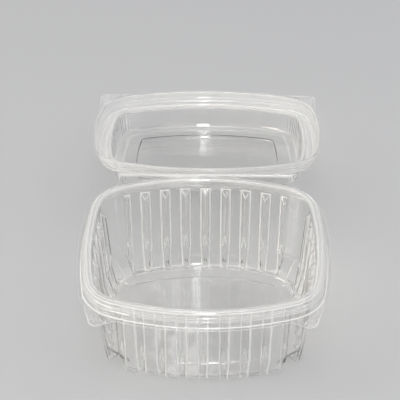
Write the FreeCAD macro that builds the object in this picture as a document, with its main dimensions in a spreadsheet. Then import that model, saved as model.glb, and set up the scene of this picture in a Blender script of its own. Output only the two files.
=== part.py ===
"""A clear clamshell pack, thermoformed from one sheet and folded over at its back.

Two pieces meet at the hinge crease: a fluted base tray and a domed lid, which lies open behind it.
Millimetres, +Z up, +X to the right, +Y to the hinge. The origin is under the middle of the tray's foot.
"""

import FreeCAD
import Part
import Sketcher

import math
import os

from FreeCAD import Placement, Rotation, Vector

# Driving dimensions: name, value, meaning. An inset lies inside the rim's inner edge, a reach outside it.
SIZES = [
    ("sheet_thickness", 0.4, "formed sheet"),
    ("rim_half_width", 60.0, "centre to the rim's inner edge, along X"),
    ("rim_half_depth", 54.3, "centre to the rim's inner edge, along Y"),
    ("end_radius", 223.0, "bulge of the left and right sides"),
    ("front_radius", 137.0, "bulge of the front and back sides"),
    ("corner_radius", 18.5, "plan radius of the rim's corners"),
    ("rim_height", 55.7, "table to the top of the rim"),
    ("foot_inset", 6.6, "flat foot"),
    ("wall_foot_inset", 5.6, "wall just above the foot's bevel"),
    ("foot_rise", 1.4, "height of the foot's bevel"),
    ("break_inset", 3.9, "line where the wall turns steeper"),
    ("break_height", 13.2, "the same line above the table"),
    ("lip_inset", 0.3, "top of the wall, under the rim"),
    ("lip_drop", 1.9, "top of the wall below the rim"),
    ("throat_reach", 0.15, "inner bend of the rim"),
    ("throat_drop", 0.6, "inner bend below the rim"),
    ("land_start", 0.9, "inner edge of the rim's flat land"),
    ("land_end", 3.0, "outer edge of the rim's flat land"),
    ("shoulder_reach", 4.3, "outer bend of the rim"),
    ("shoulder_drop", 0.9, "outer bend below the rim"),
    ("upper_bead_reach", 4.7, "skirt above its upper bead"),
    ("upper_bead_drop", 2.6, "upper bead below the rim"),
    ("middle_skirt_reach", 5.3, "skirt between its beads"),
    ("middle_skirt_drop", 3.2, "foot of the upper bead below the rim"),
    ("lower_bead_reach", 5.4, "skirt above its lower bead"),
    ("lower_bead_drop", 4.4, "lower bead below the rim"),
    ("lower_skirt_reach", 5.9, "skirt under its beads"),
    ("lower_skirt_drop", 5.0, "foot of the lower bead below the rim"),
    ("skirt_foot_reach", 6.1, "where the skirt meets the flange"),
    ("flange_drop", 8.5, "flange below the rim"),
    ("flange_reach", 8.25, "outer edge of the flange"),
    ("seam_lap", 1.0, "how far the swept shell laps a plate"),
    ("platform_inset", 18.3, "raised middle of the tray's floor"),
    ("platform_corner", 2.0, "plan radius of that platform"),
    ("platform_rise", 0.9, "height of that platform above the foot"),
    ("flute_pitch", 11.4, "from one front or back flute to the next, along the rim"),
    ("flute_count", 9, "flutes on the front and on the back"),
    ("end_flute_pitch", 10.8, "from one side flute to the next, along the rim"),
    ("end_flute_count", 7, "flutes on each side"),
    ("flute_half_width", 2.6, "half the mouth of a flute"),
    ("flute_depth", 3.0, "depth of a flute"),
    ("flute_foot_depth", 0.5, "depth of a flute at the foot"),
    ("flute_foot_half_width", 0.5, "half the mouth of a flute at the foot"),
    ("flute_break_depth", 1.7, "depth of a flute where the wall turns steeper"),
    ("flute_break_half_width", 1.5, "half the mouth of a flute there"),
    ("flute_top_drop", 8.6, "full flute ends this far below the rim"),
    ("flute_top_inset", 0.9, "wall at that height"),
    ("flute_tip_depth", 0.5, "depth at the flute's upper tip"),
    ("flute_tip_half_width", 0.5, "half the mouth at the flute's upper tip"),
    ("flute_tip_drop", 5.4, "flute's upper tip below the rim"),
    ("flute_tip_inset", 0.6, "wall at the flute's upper tip"),
    ("relief_setback_x", 2.5, "corner relief's centre inside the corner square, along X"),
    ("relief_setback_y", 7.2, "corner relief's centre inside the corner square, along Y"),
    ("relief_angle", 50.0, "direction the corner relief faces, from +X"),
    ("relief_half_width", 4.5, "half the width of a corner relief"),
    ("relief_depth", 7.5, "depth of a corner relief at the foot"),
    ("relief_height", 12.5, "top of a corner relief"),
    ("hinge_half_gap", 8.0, "flange edge to the hinge crease"),
    ("hinge_half_width", 49.0, "half the length of the hinge strip"),
    ("crease_gap", 0.1, "each half strip ends this far from the crease"),
    ("lid_gap", 0.3, "clearance between the closed lid and the tray"),
    ("plug_lip_inset", 0.7, "top of the lid's plug"),
    ("plug_lip_drop", 1.6, "the same bend below the rim"),
    ("plug_land_start", 0.2, "inner edge of the lid's land"),
    ("plug_inset", 0.95, "side of the lid's plug"),
    ("plug_side_drop", 2.9, "lower end of that side below the rim"),
    ("plug_toe_inset", 1.5, "outer edge of the plug's toe"),
    ("plug_drop", 3.5, "toe of the plug below the rim"),
    ("plug_heel_inset", 2.5, "inner edge of the plug's toe"),
    ("dome_foot_inset", 3.0, "foot of the dome's wall"),
    ("dome_height", 19.5, "inside of the dome above the flange"),
    ("dome_wall_inset", 4.5, "top of the dome's wall"),
    ("dome_wall_drop", 2.6, "top of that wall below the dome"),
    ("dome_bend_inset", 5.3, "bend between the wall and the top"),
    ("dome_bend_drop", 0.8, "that bend below the dome"),
    ("dome_top_inset", 7.0, "edge of the flat top"),
    ("panel_inset", 18.0, "raised middle of the lid"),
    ("panel_corner", 2.5, "plan radius of that panel"),
    ("panel_rise", 1.7, "height of that panel"),
    ("tray_tab_x", 59.5, "corner of a tray tab, along X"),
    ("tray_tab_y", 59.5, "corner of a tray tab, along Y"),
    ("lid_tab_x", 66.5, "corner of a lid tab, along X"),
    ("lid_tab_y", 54.5, "corner of a lid tab, along Y"),
    ("tab_cut", 4.0, "cut across a tab's corner"),
    ("tab_root_x", 44.0, "where a tab leaves the front flange, along X"),
    ("tab_root_y", 30.0, "where a tab leaves the side flange, along Y"),
]
SIZE = {name: amount for name, amount, meaning in SIZES}

doc = FreeCAD.newDocument("clamshell")
sheet = doc.addObject("Spreadsheet::Sheet", "Sizes")
for row, (name, amount, meaning) in enumerate(SIZES, start=1):
    sheet.set(f"A{row}", name)
    sheet.set(f"B{row}", str(amount))
    sheet.set(f"C{row}", meaning)
    sheet.setAlias(f"B{row}", name)
doc.recompute()


# Formulas are sums of names from the sheet, such as "rim_height - 0.5*sheet_thickness".
def value(formula):
    """The number that a formula gives."""
    total, sign = 0.0, 1.0
    for word in formula.split():
        if word in ("+", "-"):
            sign = -1.0 if word == "-" else 1.0
            continue
        term = sign
        for factor in word.split("*"):
            term *= float(factor) if factor[0].isdigit() else SIZE[factor]
        total += term
    return total


def cells(formula):
    """The same formula as an expression on the sheet's cells."""
    words = []
    for word in formula.split():
        factors = [f if f[0].isdigit() or f in "+-" else "Sizes." + f for f in word.split("*")]
        words.append("*".join(factors))
    return " ".join(words)


def negated(formula):
    """The same formula with every sign turned."""
    words = [{"+": "-", "-": "+"}.get(word, word) for word in formula.split()]
    return " ".join(words if words[0] in ("+", "-") else ["-"] + words)


def bind(thing, path, formula):
    """Ties one property of an object to the sheet."""
    thing.setExpression(path, cells(formula))


# Sketches
def origin_plane(body, role):
    """One of a body's own origin planes."""
    return next(f for f in body.Origin.OriginFeatures if f.Role == role)


def new_sketch(body, name, role="XY_Plane", height=None):
    """An empty sketch on a plane of the body, raised by a formula."""
    sketch = body.newObject("Sketcher::SketchObject", name)
    sketch.AttachmentSupport = (origin_plane(body, role), [""])
    sketch.MapMode = "FlatFace"
    if height:
        sketch.AttachmentOffset = Placement(Vector(0, 0, value(height)), Rotation())
        bind(sketch, ".AttachmentOffset.Base.z", height)
    return sketch


def rule(*terms, formula=None):
    """One constraint, with the formula that drives it if it has a size."""
    if formula:
        terms += (value(formula),)
    return Sketcher.Constraint(*terms), formula


def point_rules(line, end, x, y):
    """Hold a line's end at formulas for its place in the sketch; None leaves it on that axis."""
    rules = []
    for kind, axis, formula in (("DistanceX", -2, x), ("DistanceY", -1, y)):
        if formula is None:
            rules.append(rule("PointOnObject", line, end, axis))
        else:
            rules.append(rule(kind, -1, 1, line, end, formula=formula))
    return rules


def hold(sketch, rules):
    """Adds all of a sketch's constraints and ties the driven ones to the sheet."""
    numbers = sketch.addConstraint([constraint for constraint, formula in rules])
    for number, (constraint, formula) in zip(numbers, rules):
        if formula:
            bind(sketch, f"Constraints[{number}]", formula)


def draw_polygon(sketch, corners):
    """A closed polygon whose corners are pairs of formulas."""
    spots = [Vector(value(x or ""), value(y or ""), 0) for x, y in corners]
    lines = [
        sketch.addGeometry(Part.LineSegment(spot, spots[(k + 1) % len(spots)]))
        for k, spot in enumerate(spots)
    ]
    rules = [
        rule("Coincident", line, 2, lines[(k + 1) % len(lines)], 1) for k, line in enumerate(lines)
    ]
    for line, (x, y) in zip(lines, corners):
        rules += point_rules(line, 1, x, y)
    hold(sketch, rules)


def corner_centre(half_width, half_depth, end_radius, front_radius, corner_radius):
    """The centre of the corner circle that touches a side arc and a front arc."""
    front = Vector(0, half_depth - front_radius, 0)
    side = Vector(half_width - end_radius, 0, 0)
    reach_front, reach_side = front_radius - corner_radius, end_radius - corner_radius
    between = side - front
    along = (reach_front**2 - reach_side**2 + between.Length**2) / (2 * between.Length)
    across = math.sqrt(reach_front**2 - along**2)
    direction = Vector(between).normalize()
    return front + direction * along + Vector(direction.y, -direction.x, 0) * across


def draw_outline(sketch, offset, corner="corner_radius"):
    """The pack's outline moved by a signed formula: eight arcs, each tangent to the next."""
    end_radius, front_radius = f"end_radius {offset}", f"front_radius {offset}"
    corner_radius = f"{corner} {offset}" if corner == "corner_radius" else corner
    end_centre, front_centre = "rim_half_width - end_radius", "rim_half_depth - front_radius"
    centre = corner_centre(
        value(f"rim_half_width {offset}"),
        value(f"rim_half_depth {offset}"),
        value(end_radius),
        value(front_radius),
        value(corner_radius),
    )
    side, front = Vector(value(end_centre), 0, 0), Vector(0, value(front_centre), 0)
    end_turn = math.atan2(centre.y, centre.x - side.x)
    front_turn = math.atan2(centre.y - front.y, centre.x)
    half = math.pi
    arcs = [
        (side, end_radius, -end_turn, end_turn),
        (centre, corner_radius, end_turn, front_turn),
        (front, front_radius, front_turn, half - front_turn),
        (Vector(-centre.x, centre.y, 0), corner_radius, half - front_turn, half - end_turn),
        (-side, end_radius, half - end_turn, half + end_turn),
        (-centre, corner_radius, half + end_turn, half + front_turn),
        (-front, front_radius, half + front_turn, 2 * half - front_turn),
        (Vector(centre.x, -centre.y, 0), corner_radius, 2 * half - front_turn, 2 * half - end_turn),
    ]
    for middle, radius, start, end in arcs:
        circle = Part.Circle(middle, Vector(0, 0, 1), value(radius))
        sketch.addGeometry(Part.ArcOfCircle(circle, start, end))
    rules = []
    for k, (middle, radius, start, end) in enumerate(arcs):
        rules.append(rule("Tangent", k, 2, (k + 1) % len(arcs), 1))
        rules.append(rule("Radius", k, formula=radius))
    for k, axis, kind, formula in (
        (0, -1, "DistanceX", end_centre),
        (2, -2, "DistanceY", front_centre),
        (4, -1, "DistanceX", "end_radius - rim_half_width"),
        (6, -2, "DistanceY", "front_radius - rim_half_depth"),
    ):
        rules.append(rule("PointOnObject", k, 3, axis))
        rules.append(rule(kind, -1, 1, k, 3, formula=formula))
    hold(sketch, rules)


def parallel_points(points, distance):
    """A polyline moved to its left by a distance, with mitred corners."""
    normals = []
    for a, b in zip(points, points[1:]):
        run = (b - a).normalize()
        normals.append(Vector(-run.y, run.x, 0))
    moved = [points[0] + normals[0] * distance]
    for point, before, after in zip(points[1:], normals, normals[1:]):
        moved.append(point + (before + after) * (distance / (1 + before.dot(after))))
    return moved + [points[-1] + normals[-1] * distance]


def draw_sheet_section(sketch, bends):
    """The cut through a formed sheet: one face through the bends, the other parallel to its left."""
    face = [Vector(value(x), value(y), 0) for x, y in bends]
    back = parallel_points(face, SIZE["sheet_thickness"])
    runs = len(bends) - 1
    for chain in (face, back):
        for a, b in zip(chain, chain[1:]):
            sketch.addGeometry(Part.LineSegment(a, b))
    start_cap = sketch.addGeometry(Part.LineSegment(face[0], back[0]))
    end_cap = sketch.addGeometry(Part.LineSegment(face[-1], back[-1]))
    rules = []
    for first in (0, runs):
        rules += [rule("Coincident", k, 2, k + 1, 1) for k in range(first, first + runs - 1)]
    for cap, line, end in ((start_cap, 0, 1), (end_cap, runs - 1, 2)):
        rules.append(rule("Coincident", cap, 1, line, end))
        rules.append(rule("Coincident", cap, 2, line + runs, end))
        rules.append(rule("Perpendicular", cap, line))
    for k in range(runs):
        rules += point_rules(k, 1, *bends[k])
        rules.append(rule("Parallel", k, k + runs))
        rules.append(rule("Distance", k + runs, 1, k, formula="sheet_thickness"))
    rules += point_rules(runs - 1, 2, *bends[runs])
    hold(sketch, rules)
    return back


# Features
def new_feature(body, kind, name):
    """A feature of the body that keeps its faces as they are cut, which makes a long chain quick."""
    feature = body.newObject("PartDesign::" + kind, name)
    feature.Refine = False
    return feature


def swept_shell(body, name, bends):
    """A sheet section carried round the rim's outline. Returns the points of its second face."""
    path = new_sketch(body, name + "_path")
    draw_outline(path, "")
    section = new_sketch(body, name + "_section", "XZ_Plane")
    from_centre = [(f"rim_half_width {reach}", level) for reach, level in bends]
    back = draw_sheet_section(section, from_centre)
    shell = new_feature(body, "AdditivePipe", name + "_shell")
    shell.Profile = section
    shell.Spine = (path, [f"Edge{k + 1}" for k in range(path.GeometryCount)])
    return back


def plate(body, name, draw, level, thickness="sheet_thickness"):
    """A flat pad upwards from a level, of the shape that draw puts in its sketch."""
    sketch = new_sketch(body, name + "_sketch", height=level)
    draw(sketch)
    pad = new_feature(body, "Pad", name)
    pad.Profile = sketch
    bind(pad, "Length", thickness)
    return pad


def pocket(body, name, draw, level, depth, upwards):
    """A flat cut of the shape that draw puts in its sketch, upwards or downwards from a level."""
    sketch = new_sketch(body, name + "_sketch", height=level)
    draw(sketch)
    cut = new_feature(body, "Pocket", name)
    cut.Profile = sketch
    cut.Reversed = upwards
    bind(cut, "Length", depth)
    return cut


def raised_panel(body, name, inset, corner, level, rise):
    """A raised middle of a flat sheet whose lower face is at a level, formed upwards by a rise."""
    outside, inside = f"- {inset}", f"- {inset} - sheet_thickness"
    small_corner = f"{corner} - 0.5*sheet_thickness"
    plate(body, name, lambda s: draw_outline(s, outside, corner), level, f"{rise} + sheet_thickness")
    pocket(
        body,
        name + "_hollow",
        lambda s: draw_outline(s, inside, small_corner),
        level,
        rise,
        upwards=True,
    )


def flange_plate(body, level, tab_x, tab_y):
    """The flat flange ring with its half of the hinge strip and the two front corner tabs."""
    plate(body, "flange", lambda s: draw_outline(s, "+ flange_reach"), level)
    crease = "rim_half_depth + flange_reach + hinge_half_gap - crease_gap"
    strip = [
        ("- hinge_half_width", "tab_root_y"),
        ("hinge_half_width", "tab_root_y"),
        ("hinge_half_width", crease),
        ("- hinge_half_width", crease),
    ]
    plate(body, "hinge_strip", lambda s: draw_polygon(s, strip), level)
    tab = [
        ("tab_root_x", "- tab_root_y"),
        ("rim_half_width + skirt_foot_reach", "- tab_root_y"),
        (tab_x, f"- {tab_y} + tab_cut"),
        (f"{tab_x} - tab_cut", f"- {tab_y}"),
        ("tab_root_x", "- rim_half_depth"),
    ]
    pad = plate(body, "corner_tab", lambda s: draw_polygon(s, tab), level)
    mirror_copies(body, "corner_tabs", [pad], ["YZ_Plane"])
    inner = "+ 0.5*flange_reach + 0.5*skirt_foot_reach"
    pocket(body, "flange_opening", lambda s: draw_outline(s, inner), level, "sheet_thickness", upwards=True)


def mirror_copies(body, name, originals, roles):
    """Copies features across one or two of the body's planes."""
    copies = new_feature(body, "MultiTransform", name)
    copies.Originals = originals
    steps = []
    for role in roles:
        step = doc.addObject("PartDesign::Mirrored", f"{name}_{role}")
        body.addObject(step)
        step.MirrorPlane = (origin_plane(body, role), [""])
        steps.append(step)
    copies.Transformations = steps
    body.Tip = copies
    return copies


def flute_section(body, name, side, height, reach, half_width, depth):
    """A V across one flute, in a sketch whose origin is the centre of that side's arc."""
    sketch = new_sketch(body, name, height=height)
    radius, pitch, count = side["radius"], side["pitch"], side["count"]
    bind(sketch, f".AttachmentOffset.Base.{side['axis']}", f"{side['half']} - {radius}")
    turn = f"{side['facing']} - (Sizes.{count} - 1) / 2 * Sizes.{pitch} / Sizes.{radius} * 180 / pi"
    sketch.setExpression(".AttachmentOffset.Rotation.Angle", turn)
    root = f"{radius} {reach}"
    corners = [
        (negated(half_width), root),
        (half_width, root),
        (None, f"{root} {negated(depth)}"),
    ]
    draw_polygon(sketch, corners)
    return sketch


def flutes(body, name, side):
    """V flutes in one wall and the wall opposite: ridges inside the tray, then grooves outside."""
    ridge, groove = [], []
    for station, height, inset, half_width, depth in FLUTE_STATIONS:
        ridge.append(
            flute_section(
                body,
                f"{name}_ridge_{station}",
                side,
                f"{height} + sheet_thickness" if station == "tip" else height,
                f"- {inset} + 0.5*sheet_thickness",
                f"{half_width} + sheet_thickness",
                f"{depth} + sheet_thickness",
            )
        )
        groove.append(
            flute_section(
                body,
                f"{name}_groove_{station}",
                side,
                f"{height} + sheet_thickness" if station == "foot" else height,
                f"- {inset} + sheet_thickness + {depth}",
                f"2*{half_width}",
                f"2*{depth}",
            )
        )
    for kind, sections in (("AdditiveLoft", ridge), ("SubtractiveLoft", groove)):
        loft = new_feature(body, kind, f"{name}_{kind}")
        loft.Profile = sections[0]
        loft.Sections = sections[1:]
        loft.Ruled = True
        copies = new_feature(body, "MultiTransform", f"{name}_{kind}_copies")
        copies.Originals = [loft]
        round_arc = doc.addObject("PartDesign::PolarPattern", f"{name}_{kind}_round")
        body.addObject(round_arc)
        round_arc.Axis = (sections[0], ["N_Axis"])
        radius, pitch, count = side["radius"], side["pitch"], side["count"]
        sweep = f"(Sizes.{count} - 1) * Sizes.{pitch} / Sizes.{radius} * 180 / pi"
        round_arc.Angle = math.degrees((SIZE[count] - 1) * SIZE[pitch] / SIZE[radius])
        round_arc.Occurrences = SIZE[count]
        round_arc.setExpression("Angle", sweep)
        bind(round_arc, "Occurrences", count)
        across = doc.addObject("PartDesign::Mirrored", f"{name}_{kind}_across")
        body.addObject(across)
        across.MirrorPlane = (origin_plane(body, side["mirror"]), [""])
        copies.Transformations = [round_arc, across]
        body.Tip = copies


# Along a flute, from its foot up: height, the wall's inset there, half the mouth, depth
FLUTE_STATIONS = [
    ("foot", "foot_rise + sheet_thickness", "wall_foot_inset", "flute_foot_half_width", "flute_foot_depth"),
    ("break", "break_height", "break_inset", "flute_break_half_width", "flute_break_depth"),
    ("top", "rim_height - flute_top_drop", "flute_top_inset", "flute_half_width", "flute_depth"),
    ("tip", "rim_height - flute_tip_drop", "flute_tip_inset", "flute_tip_half_width", "flute_tip_depth"),
]
LONG_SIDE = {
    "radius": "front_radius",
    "half": "rim_half_depth",
    "pitch": "flute_pitch",
    "count": "flute_count",
    "axis": "y",
    "facing": 0,
    "mirror": "XZ_Plane",
}
SHORT_SIDE = {
    "radius": "end_radius",
    "half": "rim_half_width",
    "pitch": "end_flute_pitch",
    "count": "end_flute_count",
    "axis": "x",
    "facing": -90,
    "mirror": "YZ_Plane",
}


def relief_section(body, name, height, inner, outer, half_width):
    """A rectangle across one corner relief, in a sketch turned to face out of the corner."""
    sketch = new_sketch(body, name, height=height)
    bind(sketch, ".AttachmentOffset.Base.x", "rim_half_width - corner_radius - relief_setback_x")
    bind(sketch, ".AttachmentOffset.Base.y", "rim_half_depth - corner_radius - relief_setback_y")
    bind(sketch, ".AttachmentOffset.Rotation.Angle", "relief_angle")
    near = negated(half_width)
    corners = [(inner, near), (outer, near), (outer, half_width), (inner, half_width)]
    draw_polygon(sketch, corners)
    return sketch


def corner_reliefs(body):
    """A sloped facet cut into the foot of each corner, with its wall standing inside the tray."""
    foot_face = "corner_radius - foot_inset - relief_depth"
    top_face = "corner_radius - break_inset - 2*sheet_thickness"
    wide = "relief_half_width + sheet_thickness"
    block = [
        relief_section(
            body,
            "relief_block_foot",
            "0*foot_rise",
            foot_face,
            "corner_radius - foot_inset",
            wide,
        ),
        relief_section(
            body,
            "relief_block_top",
            "relief_height + sheet_thickness",
            top_face,
            "corner_radius - break_inset",
            wide,
        ),
    ]
    skin = "1.3*sheet_thickness"
    beyond = "corner_radius + flange_reach"
    tool = [
        relief_section(
            body,
            "relief_cut_foot",
            "0*foot_rise",
            f"{foot_face} + {skin}",
            beyond,
            "relief_half_width",
        ),
        relief_section(
            body,
            "relief_cut_top",
            "relief_height + sheet_thickness",
            f"{top_face} + {skin}",
            beyond,
            "relief_half_width",
        ),
    ]
    for kind, (foot, top) in (("AdditiveLoft", block), ("SubtractiveLoft", tool)):
        loft = new_feature(body, kind, "relief_" + kind)
        loft.Profile = foot
        loft.Sections = [top]
        loft.Ruled = True
        mirror_copies(body, f"relief_{kind}_copies", [loft], ["YZ_Plane", "XZ_Plane"])


# The tray: bends of its upper face, from the floor out to the flange
TRAY_FLANGE = "rim_height - flange_drop"
TRAY_BENDS = [
    ("- foot_inset - 2*seam_lap", "sheet_thickness"),
    ("- foot_inset", "sheet_thickness"),
    ("- wall_foot_inset", "foot_rise + sheet_thickness"),
    ("- break_inset", "break_height"),
    ("- lip_inset", "rim_height - lip_drop"),
    ("+ throat_reach", "rim_height - throat_drop"),
    ("+ land_start", "rim_height"),
    ("+ land_end", "rim_height"),
    ("+ shoulder_reach", "rim_height - shoulder_drop"),
    ("+ upper_bead_reach", "rim_height - upper_bead_drop"),
    ("+ middle_skirt_reach", "rim_height - middle_skirt_drop"),
    ("+ lower_bead_reach", "rim_height - lower_bead_drop"),
    ("+ lower_skirt_reach", "rim_height - lower_skirt_drop"),
    ("+ skirt_foot_reach", TRAY_FLANGE),
    ("+ flange_reach - 0.3*seam_lap", TRAY_FLANGE),
]


def make_tray():
    """The fluted base tray with its rim, flange, tabs and half of the hinge strip."""
    body = doc.addObject("PartDesign::Body", "base_tray")
    body.Label = "base_tray"
    flange_plate(body, f"{TRAY_FLANGE} - sheet_thickness", "tray_tab_x", "tray_tab_y")
    # The section runs outwards, so its second face is drawn from the reversed bends.
    swept_shell(body, "tray", TRAY_BENDS[::-1])
    plate(body, "floor", lambda s: draw_outline(s, "- foot_inset - seam_lap"), "0*foot_rise")
    raised_panel(body, "platform", "platform_inset", "platform_corner", "0*foot_rise", "platform_rise")
    flutes(body, "long_flutes", LONG_SIDE)
    flutes(body, "end_flutes", SHORT_SIDE)
    corner_reliefs(body)
    return body


# The lid, closed: bends of its lower face, from the flange in to the dome's top
LID_FLANGE = "rim_height - flange_drop + lid_gap"
DOME_TOP = "rim_height - flange_drop + lid_gap + dome_height"
LID_BENDS = [
    ("+ flange_reach - 0.3*seam_lap", LID_FLANGE),
    ("+ skirt_foot_reach + lid_gap", LID_FLANGE),
    ("+ lower_skirt_reach + lid_gap", "rim_height - lower_skirt_drop + lid_gap"),
    ("+ lower_bead_reach + lid_gap", "rim_height - lower_bead_drop + lid_gap"),
    ("+ middle_skirt_reach + lid_gap", "rim_height - middle_skirt_drop + lid_gap"),
    ("+ upper_bead_reach + lid_gap", "rim_height - upper_bead_drop + lid_gap"),
    ("+ shoulder_reach + lid_gap", "rim_height - shoulder_drop + lid_gap"),
    ("+ land_end + lid_gap", "rim_height + lid_gap"),
    ("+ plug_land_start", "rim_height + lid_gap"),
    ("- plug_lip_inset", "rim_height - plug_lip_drop"),
    ("- plug_inset", "rim_height - plug_side_drop"),
    ("- plug_toe_inset", "rim_height - plug_drop"),
    ("- plug_heel_inset", "rim_height - plug_drop"),
    ("- dome_foot_inset", "rim_height - plug_side_drop"),
    ("- dome_wall_inset", f"{DOME_TOP} - dome_wall_drop"),
    ("- dome_bend_inset", f"{DOME_TOP} - dome_bend_drop"),
    ("- dome_top_inset", DOME_TOP),
    ("- dome_top_inset - 2*seam_lap", DOME_TOP),
]


def resting_angle(section_points, hinge):
    """How far the lid turns back from closed until it touches the table, in degrees."""
    middle = SIZE["rim_half_width"] - SIZE["rim_half_depth"]
    corners = [(-(point.x - middle), point.y) for point in section_points]
    panel_edge = -value("rim_half_depth - panel_inset")
    corners.append((panel_edge, value(f"{DOME_TOP} + panel_rise + sheet_thickness")))
    low, high = math.radians(150), math.radians(250)
    while high - low > 1e-9:
        angle = (low + high) / 2
        lowest = min(
            hinge.z - (y - hinge.y) * math.sin(angle) + (z - hinge.z) * math.cos(angle)
            for y, z in corners
        )
        low, high = (angle, high) if lowest > 0 else (low, angle)
    return math.degrees(low)


def make_lid():
    """The domed lid with its plug, rim, flange, tabs and half of the hinge strip, turned open."""
    body = doc.addObject("PartDesign::Body", "lid")
    body.Label = "lid"
    flange_plate(body, LID_FLANGE, "lid_tab_x", "lid_tab_y")
    upper_face = swept_shell(body, "lid", LID_BENDS[::-1])
    plate(body, "dome_top", lambda s: draw_outline(s, "- dome_top_inset - seam_lap"), DOME_TOP)
    raised_panel(body, "panel", "panel_inset", "panel_corner", DOME_TOP, "panel_rise")
    hinge = Vector(
        0,
        value("rim_half_depth + flange_reach + hinge_half_gap"),
        value("rim_height - flange_drop + 0.5*lid_gap"),
    )
    angle = resting_angle(upper_face, hinge)
    body.Placement = Placement(Vector(), Rotation(Vector(1, 0, 0), -angle), hinge)
    print(f"hinge axis at y {hinge.y:.3f}, z {hinge.z:.3f}; the lid is {angle:.3f} degrees from closed")
    return body


tray = make_tray()
lid = make_lid()
doc.recompute()

for thing in doc.Objects:
    if {"Invalid", "Error"} & set(thing.State):
        raise RuntimeError(f"{thing.Label} failed: {thing.State}")
os.makedirs("parts", exist_ok=True)
for piece in (tray, lid):
    shape = piece.Shape
    if shape.isNull() or not shape.isValid() or len(shape.Solids) != 1:
        raise RuntimeError(f"{piece.Label} is not one valid solid")
    shape.exportStep(f"parts/{piece.Label}.step")
    print(f"{piece.Label}: {shape.Volume:.1f} cubic mm, {len(shape.Faces)} faces")
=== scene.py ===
# %% [markdown]
# # A clear clamshell pack
# A clamshell pack is one sheet of clear plastic, heated and pulled over a mould. Here it has three
# visible parts: a fluted tray, a shallow lid that lies open behind it, and the fold between them.
# Every shape follows a rule: a cut through the sheet is carried round one outline.
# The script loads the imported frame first, because each piece has to lie where the frame says.

import math

import bpy
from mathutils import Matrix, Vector


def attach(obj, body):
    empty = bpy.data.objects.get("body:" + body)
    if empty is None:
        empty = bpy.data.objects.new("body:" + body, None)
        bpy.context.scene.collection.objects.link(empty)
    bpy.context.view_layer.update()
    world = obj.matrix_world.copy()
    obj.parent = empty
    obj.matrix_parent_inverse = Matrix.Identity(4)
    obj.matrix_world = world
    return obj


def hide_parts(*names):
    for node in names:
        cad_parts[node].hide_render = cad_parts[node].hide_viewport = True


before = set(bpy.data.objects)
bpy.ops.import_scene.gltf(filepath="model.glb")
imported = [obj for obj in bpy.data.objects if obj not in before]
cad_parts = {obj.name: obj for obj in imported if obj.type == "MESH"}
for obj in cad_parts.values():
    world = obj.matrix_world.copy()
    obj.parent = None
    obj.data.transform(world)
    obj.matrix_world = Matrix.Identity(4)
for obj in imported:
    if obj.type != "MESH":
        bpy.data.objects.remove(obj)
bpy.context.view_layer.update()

# %% [markdown]
# ## The outline
# Seen from above, the rim is a soft square of eight arcs: a gentle bulge on each side and a tight
# arc at each corner. One list of columns goes round it once. Each column knows its arc, how far
# along that arc it stands, and how far it is from the nearest flute. Every ring of the pack is then
# the same list of columns at another distance from the rim, so all the rings fit together.

# %% Sizes of the outline, in millimetres
HALF_WIDTH, HALF_DEPTH = 60.0, 54.3
END_RADIUS, FRONT_RADIUS, CORNER_RADIUS = 223.0, 137.0, 18.5
SHEET = 0.4
FLUTES = {"front": (11.4, 9), "end": (10.8, 7)}  # spacing and count on a side
FLUTE_HALF_WIDTH = 2.6
NO_FLUTE = 99.0  # stands for "far from any flute"


def corner_centre(offset, corner):
    """Centre of the corner circle that touches the side arc and the front arc at an offset."""
    front = Vector((0.0, HALF_DEPTH - FRONT_RADIUS))
    side = Vector((HALF_WIDTH - END_RADIUS, 0.0))
    reach_front, reach_side = FRONT_RADIUS + offset - corner, END_RADIUS + offset - corner
    between = side - front
    along = (reach_front**2 - reach_side**2 + between.length**2) / (2 * between.length)
    across = math.sqrt(reach_front**2 - along**2)
    run = between.normalized()
    return front + run * along + Vector((run.y, -run.x)) * across


def outline_arcs(offset, corner=None):
    """The eight arcs of the outline moved outwards by an offset: centre, radius, start, end."""
    corner = CORNER_RADIUS + offset if corner is None else corner
    c = corner_centre(offset, corner)
    side, front = Vector((HALF_WIDTH - END_RADIUS, 0.0)), Vector((0.0, HALF_DEPTH - FRONT_RADIUS))
    end_turn = math.atan2(c.y, c.x - side.x)
    front_turn = math.atan2(c.y - front.y, c.x)
    end, long = END_RADIUS + offset, FRONT_RADIUS + offset
    half = math.pi
    return [
        (side, end, -end_turn, end_turn),
        (c, corner, end_turn, front_turn),
        (front, long, front_turn, half - front_turn),
        (Vector((-c.x, c.y)), corner, half - front_turn, half - end_turn),
        (-side, end, half - end_turn, half + end_turn),
        (-c, corner, half + end_turn, half + front_turn),
        (-front, long, half + front_turn, 2 * half - front_turn),
        (Vector((c.x, -c.y)), corner, 2 * half - front_turn, 2 * half - end_turn),
    ]


RIM_ARCS = outline_arcs(0.0)
print("corner arc centres:", [round(v, 2) for v in RIM_ARCS[1][0]])


# %% The columns round the outline
def side_stations(half_length, pitch, count):
    """Places along a side, close together over each flute and sparse between them."""
    fine = [0, 0.15, 0.5, 1.1, 1.6, 2.05, 2.35, 2.6, 2.85, 3.15]
    places = set()
    for k in range(count):
        middle = (k - (count - 1) / 2) * pitch
        for step in fine:
            places |= {round(middle + step, 4), round(middle - step, 4)}
        places.add(round(middle + pitch / 2, 4))
    return sorted(p for p in places if abs(p) < half_length - 0.05)


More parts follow.
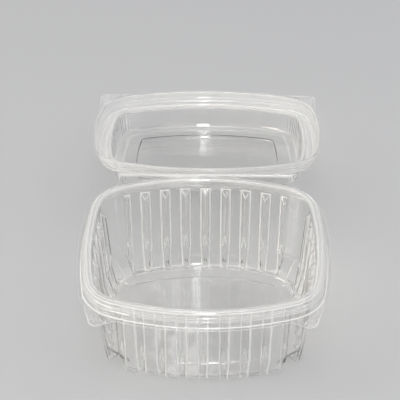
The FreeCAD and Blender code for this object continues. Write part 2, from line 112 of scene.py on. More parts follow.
def make_columns(corner_steps=34):
    """Columns: (arc, share of the arc, distance to the nearest flute)."""
    columns = []
    for k, (centre, radius, start, end) in enumerate(RIM_ARCS):
        if k % 2:
            columns += [(k, step / corner_steps, NO_FLUTE) for step in range(corner_steps)]
            continue
        pitch, count = FLUTES["front" if k % 4 == 2 else "end"]
        half_length = radius * (end - start) / 2
        for place in [-half_length] + side_stations(half_length, pitch, count):
            slot = round(place / pitch + (count - 1) / 2)
            slot = min(max(slot, 0), count - 1)
            from_flute = abs(place - (slot - (count - 1) / 2) * pitch)
            columns.append((k, (place + half_length) / (2 * half_length), from_flute))
    return columns


COLUMNS = make_columns()


def ring(offset, corner=None):
    """Every column's point on the outline moved by an offset, and its outward direction."""
    arcs = outline_arcs(offset, corner)
    points = []
    for arc, share, from_flute in COLUMNS:
        centre, radius, start, end = arcs[arc]
        turn = start + (end - start) * share
        out = Vector((math.cos(turn), math.sin(turn)))
        points.append((centre + out * radius, out))
    return points


print("columns:", len(COLUMNS))

# %% [markdown]
# ## The cut through the sheet
# A thermoformed sheet has no sharp edges: each bend follows the mould with a small radius, and
# these round bends give clear plastic its bright and dark lines. So every bend of the cut is
# rounded here by a few short steps, and a corner of the section never stays a hard crease.


# %% Round the bends of a section
def rounded(bends, steps=4, most=0.48):
    """A section's bends (reach, height, radius), each replaced by a short arc.

    An arc takes at most this share of the straight on either side of it.
    """
    points = [Vector(bends[0][:2])]
    for before, here, after in zip(bends, bends[1:], bends[2:]):
        a, b, c = Vector(before[:2]), Vector(here[:2]), Vector(after[:2])
        to_a, to_c = (a - b).normalized(), (c - b).normalized()
        reach = min(here[2], (a - b).length * most, (c - b).length * most)
        start, end = b + to_a * reach, b + to_c * reach
        for k in range(steps + 1):
            t = k / steps
            points.append(start * (1 - t) ** 2 + b * 2 * t * (1 - t) + end * t**2)
    points.append(Vector(bends[-1][:2]))
    return points


def with_levels(points, levels):
    """The same polyline with extra points where it passes these heights."""
    done = []
    for a, b in zip(points, points[1:]):
        done.append(a)
        between = [z for z in levels if min(a.y, b.y) + 0.05 < z < max(a.y, b.y) - 0.05]
        for z in sorted(between, reverse=b.y < a.y):
            done.append(a.lerp(b, (z - a.y) / (b.y - a.y)))
    return done + [points[-1]]


# %% Sections of the tray and of the closed lid: reach beyond the outline, height, bend radius
RIM = 55.7
FLANGE_LEVEL = RIM - 8.5
LID_FLANGE_LEVEL = FLANGE_LEVEL + 0.3
DOME = LID_FLANGE_LEVEL + 19.5
TRAY_SECTION = [
    (-10.1, SHEET, 0.0),  # the floor
    (-8.8, SHEET, 0.0),
    (-7.6, SHEET, 0.0),
    (-6.6, SHEET, 0.5),  # the foot
    (-5.6, 1.8, 0.6),
    (-3.9, 13.2, 0.7),  # the bend in the wall
    (-0.3, RIM - 1.9, 0.5),
    (0.15, RIM - 0.6, 0.4),
    (0.9, RIM, 0.5),  # the rim
    (3.0, RIM, 0.7),
    (4.3, RIM - 0.9, 0.6),  # the skirt and its steps
    (4.7, RIM - 2.6, 0.25),
    (5.3, RIM - 3.2, 0.25),
    (5.4, RIM - 4.4, 0.25),
    (5.9, RIM - 5.0, 0.25),
    (6.1, FLANGE_LEVEL, 0.35),  # the flange
    (6.8, FLANGE_LEVEL, 0.0),
]
LID_SECTION = [
    (-10.0, DOME, 0.0),  # the dome's top
    (-7.0, DOME, 0.7),
    (-5.3, DOME - 0.8, 0.7),
    (-4.5, DOME - 2.6, 0.7),
    (-3.0, RIM - 2.9, 0.3),  # the plug and its snap ridge
    (-2.5, RIM - 3.5, 0.3),
    (-1.5, RIM - 3.5, 0.3),
    (-0.95, RIM - 2.9, 0.3),
    (-0.7, RIM - 1.6, 0.4),
    (0.2, RIM + 0.3, 0.4),  # the rim
    (3.3, RIM + 0.3, 0.7),
    (4.6, RIM - 0.6, 0.6),  # the skirt and its steps
    (5.0, RIM - 2.3, 0.25),
    (5.6, RIM - 2.9, 0.25),
    (5.7, RIM - 4.1, 0.25),
    (6.2, RIM - 4.7, 0.25),
    (6.4, LID_FLANGE_LEVEL, 0.35),  # the flange
    (7.1, LID_FLANGE_LEVEL, 0.0),
]
FLUTE_TOP, FLUTE_CREST_TOP = RIM - 5.3, RIM - 9.0
BREAK, FLUTE_CREST_FOOT = 13.2, 22.0
HIP_STEPS = 6  # extra heights over each hipped end of a flute
WALL_LEVELS = [
    FLUTE_TOP - (FLUTE_TOP - FLUTE_CREST_TOP) * k / HIP_STEPS for k in range(-1, HIP_STEPS + 2)
]
WALL_LEVELS += [
    BREAK + (FLUTE_CREST_FOOT - BREAK) * k / HIP_STEPS for k in range(0, HIP_STEPS + 2)
]
WALL_LEVELS += [4.0, 6.5, 9.0, 11.0, 28.0, 34.0, 40.0]
tray_cut = with_levels(rounded(TRAY_SECTION), WALL_LEVELS)
lid_cut = with_levels(rounded(LID_SECTION), [62.0, 57.0])
print("rows in the tray's cut:", len(tray_cut), "and in the lid's:", len(lid_cut))

# %% [markdown]
# ## From rows and columns to a sheet
# The floor of the tray and the top of the lid each have a raised panel with tighter corners than
# the rim has. Rows between the wall and the panel change slowly from one outline to the other.
# At its outer edge, the flange grows into the two front tabs and into the hinge strip: each column
# runs outwards until it leaves the last of these flat shapes.


# %% Rows of the flat middle
PANEL_SHARES = (0.02, 0.25, 0.5, 0.75, 0.93)
PANEL_EDGE = [(-1.6, 1.0), (-1.0, 1.0), (-0.5, 0.93), (0.0, 0.5)]
PANEL_EDGE += [(0.5, 0.07), (1.0, 0.0), (1.6, 0.0)]
FLAT_SHARES = (0.3, 0.6, 0.85)


def panel_rows(inner_inset, inset, corner, level, rise, spread):
    """Rows from the centre out to the section: the panel, its edge and the flat round it.

    The edge's rows are given as (reach, share of the rise), and the spread widens them.
    """
    edge = [point for point, out in ring(-inset, corner)]
    outward = [out for point, out in ring(-inset, corner)]
    wall = [point for point, out in ring(-inner_inset)]
    rows = [[point * share for point in edge] for share in PANEL_SHARES]
    heights = [level + rise] * len(rows)
    for reach, height in PANEL_EDGE:
        rows.append([point + out * reach * spread for point, out in zip(edge, outward)])
        heights.append(level + rise * height)
    for share in FLAT_SHARES:
        rows.append([a.lerp(b, share) for a, b in zip(edge, wall)])
        heights.append(level)
    return [[(p.x, p.y, z) for p in row] for row, z in zip(rows, heights)]


def section_rows(cut):
    """One row of points for each point of the cut."""
    return [[(p.x, p.y, point.y) for p, out in ring(point.x)] for point in cut]


# %% Rows of the flange, its tabs and the hinge strip
FLANGE_REACH = 8.2
CREASE_Y, STRIP_HALF = HALF_DEPTH + 16.25, 49.0
CREASE_GAP = 0.12  # from the crease to the edge of either half of the strip
TRAY_TAB, LID_TAB = (59.5, 59.5), (66.5, 54.5)  # how far a tab reaches sideways and forwards
TAB_RADIUS, TAB_STEPS = 4.5, 5
FLANGE_SHARES = (0.12, 0.3, 0.55, 0.8, 0.93, 0.98, 1.0)


def tab_corners(tab_x, tab_y, side):
    """The tab at one front corner, in order round it, with its own corner rounded."""
    shape = [(44, -30), (66.1, -30)]
    for k in range(TAB_STEPS + 1):
        a = math.radians(90 * k / TAB_STEPS)
        x, y = tab_x - TAB_RADIUS * (1 - math.cos(a)), -tab_y + TAB_RADIUS * (1 - math.sin(a))
        shape.append((x, y))
    return [Vector((side * x, y)) for x, y in shape + [(44, -HALF_DEPTH)]]


def exit_distance(start, run, shape):
    """How far a ray goes until it last leaves a convex shape, or 0 if it misses it."""
    far = 0.0
    for a, b in zip(shape, shape[1:] + shape[:1]):
        edge = b - a
        cross = run.x * edge.y - run.y * edge.x
        if abs(cross) < 1e-9:
            continue
        gap = a - start
        t = (gap.x * edge.y - gap.y * edge.x) / cross
        s = (gap.x * run.y - gap.y * run.x) / cross
        if t > far and -1e-6 <= s <= 1 + 1e-6:
            far = t
    return far


def flange_rows(cut, tab):
    """Rows from the skirt's foot out to the edge of the flange, a tab or the hinge strip."""
    reach, level = cut[-1].x, cut[-1].y
    end = CREASE_Y - CREASE_GAP
    strip = [(-STRIP_HALF, 30), (STRIP_HALF, 30), (STRIP_HALF, end), (-STRIP_HALF, end)]
    strip = [Vector(corner) for corner in strip]
    shapes = [strip, tab_corners(*tab, 1), tab_corners(*tab, -1)]
    start = ring(reach)
    edge = []
    for point, out in start:
        exits = [exit_distance(point, out, shape) for shape in shapes]
        far = max([FLANGE_REACH - reach] + exits)
        edge.append(point + out * far)
    snaps = [strip[2], strip[3]] + [c for shape in shapes[1:] for c in shape[2:-1]]
    for corner in snaps:
        nearest = min(range(len(edge)), key=lambda k: (edge[k] - corner).length)
        edge[nearest] = corner.copy()
    rows = []
    for share in FLANGE_SHARES:
        rows.append([p.lerp(e, share) for (p, out), e in zip(start, edge)])
    return [[(p.x, p.y, level) for p in row] for row in rows]


# %% What a row tells its points
CENTRE, FLAT, FLOOR, FLANGE = -30.0, -20.0, -12.0, 8.0  # reaches that stand for whole regions
FLAT_ENDS, FOOT_ENDS = -11.0, -4.0  # the floor or dome's top and its bends lie inside these
FULL_TURN = 0.22  # radians


def row_reaches(cut, rows):
    """The reach of each row: the flat middle's, then the cut's, then the flange's."""
    inner = [CENTRE] * len(PANEL_SHARES) + [FLAT] * len(PANEL_EDGE) + [FLOOR] * len(FLAT_SHARES)
    inner += [point.x for point in cut]
    return inner + [FLANGE] * (len(rows) - len(inner))


def row_bend_highlights(rows, reaches):
    """How sharply the sheet turns at each row, read along the first column, from 0 to 1.

    The value is the strength of a painted highlight: the wide bends of the flat middle and round
    the foot get a weaker one than the rim's tight ones, and the sheet's cut edge gets one too.
    """
    path = [Vector(row[0]) for row in rows]
    bends = [0.0]
    for a, b, c, reach in zip(path, path[1:], path[2:], reaches[1:]):
        weight = 0.1 if reach < FLAT_ENDS else 0.3 if reach < FOOT_ENDS else 1.0
        bends.append(weight * min((b - a).angle(c - b, 0.0) / FULL_TURN, 1.0))
    return bends[:-2] + [0.5, 1.0, 1.0]


def carry(mesh, name, kind, values):
    """Stores a value for each point under a name that a tree or a material can read."""
    layer = mesh.attributes.new(name, kind, "POINT")
    layer.data.foreach_set("vector" if kind == "FLOAT_VECTOR" else "value", values)


# %% A mesh from rows
MM = 0.001


def sheet_mesh(name, rows, reaches, facing_up, place=None):
    """A mesh in metres from rows of points that all go once round, closed at the centre.

    Every point also carries its row's reach and the strength of a painted highlight at its row's
    bends, so that a tree or a material knows where it lies and where to paint a pale highlight.
    """
    count = len(rows[0])
    points = [point for row in rows for point in row]
    faces = []
    for r in range(len(rows) - 1):
        for c in range(count):
            d = (c + 1) % count
            quad = (r * count + c, (r + 1) * count + c, (r + 1) * count + d, r * count + d)
            faces.append(quad if facing_up else quad[::-1])
    centre = len(points)
    points.append((0.0, 0.0, rows[0][0][2]))
    for c in range(count):
        triangle = (centre, c, (c + 1) % count)
        faces.append(triangle if facing_up else triangle[::-1])
    if place:
        points = [place(p) for p in points]
    mesh = bpy.data.meshes.new(name)
    mesh.from_pydata([[v * MM for v in p] for p in points], [], faces)
    mesh.update()
    # Painted highlight strength of each row, kept as a value for the material.
    bends = row_bend_highlights(rows, reaches)
    for label, values, middle in (("reach", reaches, CENTRE), ("bend_highlight", bends, 0.0)):
        carry(mesh, label, "FLOAT", [value for value in values for c in range(count)] + [middle])
    obj = bpy.data.objects.new(name, mesh)
    bpy.context.collection.objects.link(obj)
    print(name, len(points), "points,", len(faces), "faces")
    return obj


# %% [markdown]
# ## The corner reliefs
# At the foot of each corner the tray has a sloped facet, pressed in from outside. Over its width
# the path down the wall and in along the floor is replaced by one straight slope. Each point keeps
# its share of the way, so the sheet is neither folded nor torn, and the change happens over two
# millimetres at the facet's two sides.

# %% Press in the corner reliefs
RELIEF_ANGLE, RELIEF_HALF, RELIEF_BLEND = math.radians(50), 4.5, 2.0
RELIEF_FOOT, RELIEF_TOP = (4.4, SHEET), (13.85, 12.9)  # distance from the centre, height
RELIEF_FLOOR_END = 11.9
RELIEF_CENTRE = Vector((HALF_WIDTH - CORNER_RADIUS - 2.5, HALF_DEPTH - CORNER_RADIUS - 7.2))


def smooth(t):
    """0 below 0, 1 above 1 and a soft step between them."""
    t = min(max(t, 0.0), 1.0)
    return t * t * (3 - 2 * t)


def relieved(x, y, z):
    """A point of the tray's upper face after the four corner facets are pressed in."""
    if z > RELIEF_TOP[1]:
        return x, y, z
    side_x, side_y = math.copysign(1, x), math.copysign(1, y)
    run = Vector((math.cos(RELIEF_ANGLE), math.sin(RELIEF_ANGLE)))
    local = Vector((abs(x), abs(y))) - RELIEF_CENTRE
    u, v = local.dot(run), local.x * -run.y + local.y * run.x
    amount = 1 - smooth((abs(v) - RELIEF_HALF) / RELIEF_BLEND + 0.5)
    if u < RELIEF_FOOT[0] or amount <= 0:
        return x, y, z
    floor_run = RELIEF_FLOOR_END - RELIEF_FOOT[0]
    wall_run = RELIEF_TOP[1] - RELIEF_FOOT[1]
    done = min(u - RELIEF_FOOT[0], floor_run) + max(z - RELIEF_FOOT[1], 0.0)
    share = min(done / (floor_run + wall_run), 1.0)
    new_u = RELIEF_FOOT[0] + (RELIEF_TOP[0] - RELIEF_FOOT[0]) * share
    new_z = RELIEF_FOOT[1] + (RELIEF_TOP[1] - RELIEF_FOOT[1]) * share
    u, z = u + (new_u - u) * amount, z + (new_z - z) * amount
    spot = RELIEF_CENTRE + run * u + Vector((-run.y, run.x)) * v
    return side_x * spot.x, side_y * spot.y, z


tray_rows = panel_rows(10.1, 18.3, corner=3.0, level=SHEET, rise=0.9, spread=1.2)
tray_rows += section_rows(tray_cut) + flange_rows(tray_cut, TRAY_TAB)
tray_rows = [[relieved(*point) for point in row] for row in tray_rows]
tray = sheet_mesh("tray_shell", tray_rows, row_reaches(tray_cut, tray_rows), facing_up=True)

# %% [markdown]
# ## The flutes
# Thirty-two upright flutes stiffen the tray's wall. Inside, each is a ridge like a tiny roof: two
# slopes that meet in a crest, with a hipped end at the top and a shallower, narrower stretch from
# the bend above the foot down to the floor, where each flute leaves a notch in the foot's edge.
# They all follow one rule, so a node tree makes them: the mesh carries how far each point is from
# the nearest flute and which way is out, and the tree moves the points inwards.
# The tree also stores painted highlight lines on the flutes' bends beside those of the section,
# for the material to paint as pale lines.
# The ridges could also be modelled one by one, but then no size could be changed afterwards.

# %% Give the mesh what the flute tree reads
directions = [out for point, out in ring(0.0)]
rows_count = len(tray_rows)
from_flute = [near for arc, share, near in COLUMNS] * rows_count + [NO_FLUTE]
outward = [v for out in directions for v in (out.x, out.y, 0.0)] * rows_count + [0.0, 0.0, 0.0]
carry(tray.data, "from_flute", "FLOAT", from_flute)
carry(tray.data, "outward", "FLOAT_VECTOR", outward)


# %% A helper that adds nodes
def add(tree, kind, inputs=(), **settings):
    """A node of one kind, with its settings and its inputs: numbers stay, sockets are linked."""
    node = tree.nodes.new(kind)
    for key, setting in settings.items():
        setattr(node, key, setting)
    for key, source in dict(inputs).items():
        socket = node.inputs[key]
        if isinstance(source, bpy.types.NodeSocket):
            tree.links.new(source, socket)
        else:
            socket.default_value = source
    return node


def calc(tree, operation, *terms):
    """The result of a Math node."""
    return add(tree, "ShaderNodeMath", dict(enumerate(terms)), operation=operation).outputs[0]


def ramp(tree, value, low, high, start, end):
    """A value carried from one range to another and kept inside it."""
    inputs = {"Value": value, "From Min": low, "From Max": high, "To Min": start, "To Max": end}
    return add(tree, "ShaderNodeMapRange", inputs, clamp=True).outputs[0]


def new_tree(name, sizes):
    """A geometry tree with a mesh input, named sizes and a mesh output."""
    tree = bpy.data.node_groups.new(name, "GeometryNodeTree")
    tree.interface.new_socket("Mesh", in_out="INPUT", socket_type="NodeSocketGeometry")
    for label, size in sizes.items():
        socket = tree.interface.new_socket(label, in_out="INPUT", socket_type="NodeSocketFloat")
        socket.default_value = size
    tree.interface.new_socket("Mesh", in_out="OUTPUT", socket_type="NodeSocketGeometry")
    return tree, add(tree, "NodeGroupInput").outputs, add(tree, "NodeGroupOutput").inputs


def named(tree, name, kind):
    """A value that the mesh carries."""
    return add(tree, "GeometryNodeInputNamedAttribute", {"Name": name}, data_type=kind).outputs[0]


# %% The tree that presses the flutes
FLUTE_SIZES = {
    "Half width": FLUTE_HALF_WIDTH,
    "Half width at the foot": 2.0,
    "Depth": 3.0,
    "Top": FLUTE_TOP,
    "Crest top": FLUTE_CREST_TOP,
    "Crest foot": FLUTE_CREST_FOOT,
    "Break": BREAK,
    "Depth at the break": 1.4,
    "Depth at the foot": 2.6,
    "Softness": 0.1,
}
WALL_TOP = 0.3  # the flutes lie inside this reach
FLOOR_FADE = (-10.0, -6.8)  # and fade out along the floor between these
tree, size, result = new_tree("Flutes", FLUTE_SIZES)
full, at_break, at_foot = size["Depth"], size["Depth at the break"], size["Depth at the foot"]
place = add(tree, "ShaderNodeSeparateXYZ", {0: add(tree, "GeometryNodeInputPosition").outputs[0]})
height = calc(tree, "MULTIPLY", place.outputs["Z"], 1 / MM)
near, reach = named(tree, "from_flute", "FLOAT"), named(tree, "reach", "FLOAT")
half = ramp(tree, height, 0.0, size["Break"], size["Half width at the foot"], size["Half width"])
slope = calc(tree, "SUBTRACT", 1.0, calc(tree, "DIVIDE", near, half))
roof = calc(tree, "MULTIPLY", slope, full)
top_hip = ramp(tree, height, size["Crest top"], size["Top"], full, 0.0)
foot_hip = ramp(tree, height, size["Break"], size["Crest foot"], at_break, full)
foot_end = ramp(tree, height, 0.0, size["Break"], at_foot, at_break)
hipped = calc(tree, "MINIMUM", top_hip, foot_hip)
above = calc(tree, "GREATER_THAN", height, size["Break"])
upper = calc(tree, "MULTIPLY", hipped, above)
lower = calc(tree, "MULTIPLY", foot_end, calc(tree, "SUBTRACT", 1.0, above))
ridge = calc(tree, "SMOOTH_MIN", roof, calc(tree, "ADD", upper, lower), size["Softness"])
ridge = calc(tree, "SMOOTH_MAX", ridge, 0.0, size["Softness"])
fade = ramp(tree, reach, *FLOOR_FADE, 0.0, 1.0)
on_wall = calc(tree, "MULTIPLY", calc(tree, "LESS_THAN", reach, WALL_TOP), fade)
away = add(
    tree, "ShaderNodeVectorMath", {0: named(tree, "outward", "FLOAT_VECTOR")}, operation="SCALE"
)
depth = calc(tree, "MULTIPLY", ridge, on_wall)
tree.links.new(calc(tree, "MULTIPLY", depth, -MM), away.inputs["Scale"])
moved = add(
    tree, "GeometryNodeSetPosition", {"Geometry": size["Mesh"], "Offset": away.outputs[0]}
)


# %% Painted highlights on the flutes' bends: two edges, the crest, the rims of the hipped ends and the top edge
def highlight_stripe(distance, solid, faded, strength=1.0):
    """A painted highlight where a distance is 0: full out to one number of mm and gone at the
    other.
    """
    return ramp(tree, calc(tree, "ABSOLUTE", distance), solid, faded, strength, 0.0)


def between(a, b):
    """The difference of two values."""
    return calc(tree, "SUBTRACT", a, b)


edges = highlight_stripe(between(near, half), 0.25, 0.5, 0.85)
has_hip = calc(tree, "LESS_THAN", hipped, between(full, 0.1))
hips = calc(tree, "MULTIPLY", highlight_stripe(between(roof, hipped), 0.15, 0.6), has_hip)
hips = calc(tree, "MULTIPLY", hips, above)
in_flute = calc(tree, "LESS_THAN", near, calc(tree, "ADD", half, 0.3))
top_edge = calc(tree, "MULTIPLY", highlight_stripe(between(height, size["Top"]), 0.1, 0.6), in_flute)
free_crest = calc(tree, "GREATER_THAN", calc(tree, "ADD", hipped, 0.2), roof)
crest = calc(tree, "MULTIPLY", highlight_stripe(near, 0.15, 0.5, 0.5), free_crest)
highlight_lines = calc(tree, "MAXIMUM", calc(tree, "MAXIMUM", edges, hips), crest)
highlight_lines = calc(tree, "MAXIMUM", highlight_lines, top_edge)
below_top = calc(tree, "LESS_THAN", height, calc(tree, "ADD", size["Top"], 0.4))
highlight_lines = calc(tree, "MULTIPLY", calc(tree, "MULTIPLY", highlight_lines, below_top), on_wall)
# The flutes' painted highlights join the section's painted highlights at its bends.
bend_highlight = calc(tree, "MAXIMUM", named(tree, "bend_highlight", "FLOAT"), highlight_lines)
kept = add(
    tree,
    "GeometryNodeStoreNamedAttribute",
    {"Geometry": moved.outputs[0], "Name": "bend_highlight", "Value": bend_highlight},
    data_type="FLOAT",
    domain="POINT",
)
tree.links.new(kept.outputs[0], result["Mesh"])
flute_tree = tree
print("flute tree:", len(tree.nodes), "nodes")


# %% Run a tree and the sheet's thickness, then keep a plain mesh
def apply_tree(obj, tree, sizes):
    """Adds a tree as a modifier and sets its sizes by their sockets' identifiers."""
    modifier = obj.modifiers.new(tree.name, "NODES")
    modifier.node_group = tree
    for item in tree.interface.items_tree:
        if item.in_out == "INPUT" and item.name in sizes:
            modifier[item.identifier] = sizes[item.name]


def keep_plain(obj):
    """The object's mesh with every modifier applied, and no modifier left."""
    evaluated = obj.evaluated_get(bpy.context.evaluated_depsgraph_get())
    mesh = bpy.data.meshes.new_from_object(evaluated)
    mesh.name = obj.name
    obj.modifiers.clear()
    obj.data = mesh


SHARP_EDGE = math.radians(50)


def give_thickness(obj):
    """A wall of the sheet's thickness behind the face that was modelled, smooth all over."""
    solid = obj.modifiers.new("Sheet", "SOLIDIFY")
    solid.thickness = SHEET * MM
    solid.offset = -1.0
    solid.use_even_offset = False
    keep_plain(obj)
    obj.data.shade_smooth()
    obj.data.set_sharp_from_angle(angle=SHARP_EDGE)
    print(obj.name, len(obj.data.polygons), "faces")


apply_tree(tray, flute_tree, FLUTE_SIZES)
give_thickness(tray)

# %% [markdown]
# ## The lid
# The lid is modelled closed, as its mould makes it, and then turned open about the fold. It is
# shallow: a domed top with a raised panel, a plug that fits inside the tray's rim, and a skirt that
# goes over it. The sheet stretches most in the dome's corners, where it draws into small pleats.

# %% Turn the lid open about the fold
HINGE = Vector((0.0, CREASE_Y, FLANGE_LEVEL + 0.15))
OPEN = math.radians(193.668)


def opened(point):
    """A point of the closed lid where it lies when the lid is open."""
    x, y, z = point
    y, z = y - HINGE.y, z - HINGE.z
    return (
        x,
        HINGE.y + y * math.cos(OPEN) + z * math.sin(OPEN),
        HINGE.z - y * math.sin(OPEN) + z * math.cos(OPEN),
    )


def pleated(rows, cut, low, high, depth=0.45, pleats=6, fading=2.0, wall_foot=-3.0):
    """The lid's rows with shallow upright pleats in the corners of the dome's wall.

    The pleats fade out near the wall's foot and top, and the plug and the rim stay as they are.
    """
    done = []
    for row, point in zip(rows, cut):
        fade = smooth((point.y - low) / fading) * smooth((high - point.y) / fading)
        if fade <= 0 or point.x > wall_foot:
            done.append(row)
            continue
        moved = []
        for (x, y, z), (arc, share, near), out in zip(row, COLUMNS, directions):
            wave = 0.5 - 0.5 * math.cos(2 * math.pi * pleats * share) if arc % 2 else 0.0
            push = depth * wave * fade
            moved.append((x - out.x * push, y - out.y * push, z))
        done.append(moved)
    return done


lid_rows = panel_rows(10.0, 18.0, corner=5.0, level=DOME, rise=1.7, spread=0.6)
lid_rows += pleated(section_rows(lid_cut), lid_cut, RIM - 2.9, DOME - 0.5)
lid_rows += flange_rows(lid_cut, LID_TAB)
lid_reaches = row_reaches(lid_cut, lid_rows)
lid = sheet_mesh("lid_shell", lid_rows, lid_reaches, facing_up=False, place=opened)
give_thickness(lid)

# %% [markdown]
# ## The fold
# Between the tray's half of the hinge strip and the lid's, the real sheet is creased. A thin round
# bead along that crease joins the two halves and gives the fold its bright line.

# %% Make the crease
CREASE_RADIUS, CREASE_DROP = 0.24, 0.1
crease = bpy.data.curves.new("hinge_crease", "CURVE")
crease.dimensions = "3D"
crease.bevel_depth = CREASE_RADIUS * MM
crease.bevel_resolution = 3
crease.use_fill_caps = True
spline = crease.splines.new("POLY")
spline.points.add(1)
for point, x in zip(spline.points, (-STRIP_HALF, STRIP_HALF)):
    point.co = (x * MM, HINGE.y * MM, (HINGE.z - CREASE_DROP) * MM, 1.0)
fold_curve = bpy.data.objects.new("hinge_crease", crease)
bpy.context.collection.objects.link(fold_curve)
evaluated = fold_curve.evaluated_get(bpy.context.evaluated_depsgraph_get())
fold_mesh = bpy.data.meshes.new_from_object(evaluated)
bpy.data.objects.remove(fold_curve)
fold = bpy.data.objects.new("hinge_crease", fold_mesh)
bpy.context.collection.objects.link(fold)
fold.data.shade_smooth()
print("crease:", len(fold.data.polygons), "faces")

# %% [markdown]
# ## The stipple on the tabs
# The four tabs are roughened with small dots, so that fingers find them. Points are scattered over
# a copy of each tab's face with a least distance between them, a flat dot is set on each point,
# and the tree ends in real mesh, because an export drops instances. The real dots are finer: these
# are as coarse as they need to be to show in the picture.

# %% Scatter the dots
STIPPLE_SIZES = {"Least distance": 1.1 * MM, "Dot radius": 0.38 * MM}
DOT_FLATNESS = 0.45
tree, size, result = new_tree("Stipple", STIPPLE_SIZES)
scatter = add(
    tree,
    "GeometryNodeDistributePointsOnFaces",
    {"Mesh": size["Mesh"], "Distance Min": size["Least distance"], "Density Max": 2.0e6, "Seed": 7},
    distribute_method="POISSON",
)
dot = add(tree, "GeometryNodeMeshIcoSphere", {"Radius": size["Dot radius"], "Subdivisions": 1})
flat_dot = add(
    tree,
    "GeometryNodeTransform",
    {"Geometry": dot.outputs[0], "Scale": (1.0, 1.0, DOT_FLATNESS)},
)
dots = add(
    tree,
    "GeometryNodeInstanceOnPoints",
    {
        "Points": scatter.outputs["Points"],
        "Instance": flat_dot.outputs[0],
        "Rotation": scatter.outputs["Rotation"],
    },
)
real = add(tree, "GeometryNodeRealizeInstances", {"Geometry": dots.outputs[0]})
finish = add(tree, "GeometryNodeSetMaterial", {"Geometry": real.outputs[0]})
tree.links.new(finish.outputs[0], result["Mesh"])
stipple_tree = tree


def tab_patch(name, tab, level, facing_up, place=None):
    """The faces of both tabs, a little inside their edges."""
    x, y = tab
    shape = [(61.8, -40.0), (64.0, -36.0), (x - 1.2, -y + 4.4), (x - 4.4, -y + 1.2)]
    shape += [(51.5, -y + 2.2), (50.0, -56.0), (56.5, -52.0)]
    points, faces = [], []
    for side in (1, -1):
        start = len(points)
        points += [(side * x, y, level) for x, y in shape]
        order = list(range(start, start + len(shape)))
        faces.append(order if (side < 0) == facing_up else order[::-1])
    points = [place(p) for p in points] if place else points
    mesh = bpy.data.meshes.new(name)
    mesh.from_pydata([[v * MM for v in p] for p in points], [], faces)
    obj = bpy.data.objects.new(name, mesh)
    bpy.context.collection.objects.link(obj)
    return obj


tray_dots = tab_patch("tray_tab_stipple", TRAY_TAB, FLANGE_LEVEL, True)
lid_dots = tab_patch("lid_tab_stipple", LID_TAB, LID_FLANGE_LEVEL, False, opened)

# %% [markdown]
# ## Clear plastic
# The sheet is colourless PET. It bends light strongly, it is glossy, and a formed sheet is never
# quite even: slow waves from the mould and a fine grain break up its reflections. A few parts in a
# hundred of white keep it from vanishing, as the slight haze of the real sheet does, and the rim is
# milkier than the walls, because the sheet was stretched less there. Each bend is painted as a pale
# line: white is mixed in where the sheet bends tightly, a painted highlight in place of the bright
# lines that the bends reflect. Clear plastic throws only a faint shadow, so for shadow
# rays the material lets nearly all light through.


# %% Colours and the material
def colour(code):
    """An sRGB hex colour as the linear numbers that Blender's sockets take."""
    parts = [int(code[k : k + 2], 16) / 255 for k in (0, 2, 4)]
    return [p / 12.92 if p <= 0.04045 else ((p + 0.055) / 1.055) ** 2.4 for p in parts] + [1.0]


def clear_sheet(name, haze=(0.012, 0.07), highlight_share=0.42, low=0.015, high=0.06, grain=0.04):
    """Clear thermoformed sheet.

    The haze is the share of white in the drawn walls and in the thicker rim, and the highlight
    share is the share of white painted as a highlight where the sheet bends tightly. Low and high
    are the ends of the roughness, and the grain is the fine bump.
    """
    material = bpy.data.materials.new(name)
    material.use_nodes = True
    tree = material.node_tree
    tree.nodes.clear()
    where = add(tree, "ShaderNodeTexCoord").outputs["Object"]
    waves = add(tree, "ShaderNodeTexNoise", {"Vector": where, "Scale": 70.0, "Detail": 1.0})
    fine = add(tree, "ShaderNodeTexNoise", {"Vector": where, "Scale": 900.0, "Detail": 2.0})
    bump = add(
        tree, "ShaderNodeBump", {"Strength": 0.10, "Distance": 0.002, "Height": waves.outputs[0]}
    )
    bump = add(
        tree,
        "ShaderNodeBump",
        {
            "Strength": grain,
            "Distance": 0.0002,
            "Height": fine.outputs[0],
            "Normal": bump.outputs[0],
        },
    )
    gloss = ramp(tree, waves.outputs[0], 0.35, 0.65, low, high)
    plastic = add(
        tree,
        "ShaderNodeBsdfPrincipled",
        {
            "Base Color": colour("FEFEFE"),
            "Roughness": gloss,
            "IOR": 1.57,
            "Transmission Weight": 1.0,
            "Normal": bump.outputs[0],
        },
    )
    # One white serves both the real haze of the sheet and the painted highlights at the bends.
    haze_and_painted_highlight = add(
        tree, "ShaderNodeBsdfDiffuse", {"Color": colour("FFFFFF"), "Normal": bump.outputs[0]}
    )
    reach = add(tree, "ShaderNodeAttribute", attribute_name="reach").outputs["Fac"]
    share = ramp(tree, reach, -1.0, 1.0, *haze)
    flange = ramp(tree, reach, 6.6, 7.6, 1.0, 0.5)
    share = calc(tree, "MULTIPLY", share, flange)
    # Painted highlight: white mixed in along the bends and the flutes' edges.
    bend_highlight = add(tree, "ShaderNodeAttribute", attribute_name="bend_highlight").outputs["Fac"]
    share = calc(tree, "MAXIMUM", share, calc(tree, "MULTIPLY", bend_highlight, highlight_share))
    hazy_and_highlighted = add(tree, "ShaderNodeMixShader", {0: share, 1: plastic.outputs[0], 2: haze_and_painted_highlight.outputs[0]})
    open_way = add(tree, "ShaderNodeBsdfTransparent", {"Color": colour("F4F4F4")})
    ray = add(tree, "ShaderNodeLightPath").outputs["Is Shadow Ray"]
    both = add(tree, "ShaderNodeMixShader", {0: ray, 1: hazy_and_highlighted.outputs[0], 2: open_way.outputs[0]})
    out = add(tree, "ShaderNodeOutputMaterial")
    tree.links.new(both.outputs[0], out.inputs["Surface"])
    return material


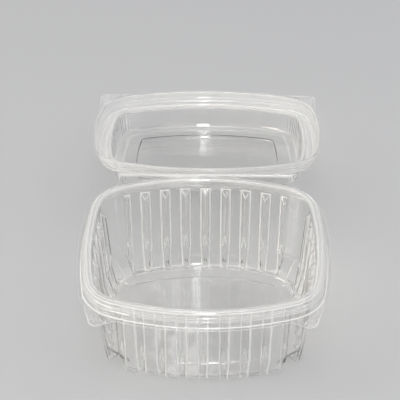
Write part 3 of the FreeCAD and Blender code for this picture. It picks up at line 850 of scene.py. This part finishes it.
pet = clear_sheet("Clear PET sheet")
frosted = clear_sheet("Stippled PET", haze=(0.7, 0.7), low=0.12, high=0.25, grain=0.2)
for obj in (tray, lid, fold):
    obj.data.materials.clear()
    obj.data.materials.append(pet)
finish.inputs["Material"].default_value = frosted
for obj in (tray_dots, lid_dots):
    apply_tree(obj, stipple_tree, STIPPLE_SIZES)
    keep_plain(obj)
    obj.data.shade_smooth()
    print(obj.name, len(obj.data.polygons), "faces")

# %% [markdown]
# ## Tie the pieces to the frame
# Each piece rides on the body that carries it in the frame, and the two shells stand for the two
# plain solids, which stay in the simulation for collision.

# %% Ride and replace
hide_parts("base_tray")
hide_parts("lid")
for body, pieces in (("tray", (tray, tray_dots, fold)), ("cover", (lid, lid_dots))):
    for obj in pieces:
        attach(obj, body)

# %% [markdown]
# ## Floor, light and camera
# The floor is plain and pale. Clear plastic shows only what it reflects and bends, so most lamps
# are long and narrow: a wide low window on the left draws bright lines along the rim, and the
# upright strips draw them down the front and the bends. The sky that the plastic mirrors is dark
# overhead, for contrast, while matt surfaces are lit by an even sky, so the floor stays pale far
# away. The camera stands where the photograph was taken.

# %% Floor
FLOOR_HALF = 6.0
floor_corners = [
    (x * FLOOR_HALF, y * FLOOR_HALF, 0) for x, y in ((-1, -1), (1, -1), (1, 1), (-1, 1))
]
floor_mesh = bpy.data.meshes.new("floor")
floor_mesh.from_pydata(floor_corners, [], [(0, 1, 2, 3)])
floor = bpy.data.objects.new("floor", floor_mesh)
bpy.context.collection.objects.link(floor)
floor.location.z = -0.2 * MM
ground = bpy.data.materials.new("Pale floor")
ground.use_nodes = True
surface = ground.node_tree.nodes["Principled BSDF"].inputs
surface["Base Color"].default_value = colour("BDBEC0")
surface["Roughness"].default_value = 0.35
floor.data.materials.append(ground)

# %% Lamps and world
world = bpy.data.worlds.new("Studio")
bpy.context.scene.world = world
world.use_nodes = True
sky = world.node_tree
upward = add(sky, "ShaderNodeTexCoord").outputs["Generated"]
upward = add(sky, "ShaderNodeSeparateXYZ", {0: upward}).outputs["Z"]
seen = ramp(sky, upward, 0.05, 0.5, 0.7, 0.1)
matt = add(sky, "ShaderNodeLightPath").outputs["Is Diffuse Ray"]
strength = add(sky, "ShaderNodeMix", {0: matt, 2: seen, 3: 0.78}).outputs[0]
sky.nodes["Background"].inputs["Color"].default_value = colour("F1F1F2")
sky.links.new(strength, sky.nodes["Background"].inputs["Strength"])


LAMPS_AIM = Vector((0.0, 0.05, 0.03))


def lamp(name, azimuth, elevation, distance, width, height, power, tint="FFFFFF"):
    """A rectangular area lamp that faces the pack. Azimuth 0 is in front, 90 to the right."""
    a, e = math.radians(azimuth), math.radians(elevation)
    direction = Vector((math.sin(a) * math.cos(e), -math.cos(a) * math.cos(e), math.sin(e)))
    light = bpy.data.lights.new(name, "AREA")
    light.shape = "RECTANGLE"
    light.size, light.size_y = width, height
    light.energy = power
    light.color = colour(tint)[:3]
    obj = bpy.data.objects.new(name, light)
    obj.location = LAMPS_AIM + direction * distance
    obj.rotation_euler = direction.to_track_quat("Z", "Y").to_euler()
    bpy.context.collection.objects.link(obj)


lamp("Window on the left", -60, 32, 1.5, 1.3, 0.3, 8.0, "FFF8EA")
lamp("Overhead lamp", 0, 86, 1.6, 0.45, 0.45, 3)
lamp("Narrow front lamp", 2, 55, 1.5, 0.12, 1.3, 4.5)
lamp("Narrow lamp behind", 182, 42, 1.6, 0.05, 0.5, 0.12)
lamp("Lamp behind on the right", 160, 16, 1.6, 0.3, 0.3, 0.8)
lamp("Right strip", 62, 28, 1.5, 0.12, 0.9, 2.0)

# %% Camera
FOCAL_PIXELS, PICTURE_PIXELS = 1972.257, 400
camera = bpy.data.cameras.new("Camera")
camera.sensor_width = 36.0
camera.lens = FOCAL_PIXELS / PICTURE_PIXELS * camera.sensor_width
camera.clip_start, camera.clip_end = 0.05, 20.0
eye = bpy.data.objects.new("Camera", camera)
eye.location = (0.009198, -0.820300, 0.720279)
eye.rotation_euler = (math.radians(90 - 37.802), 0.0, math.radians(0.805))
bpy.context.collection.objects.link(eye)
bpy.context.scene.camera = eye
bpy.context.scene.view_settings.view_transform = "Standard"
print("camera at", [round(v, 3) for v in eye.location])
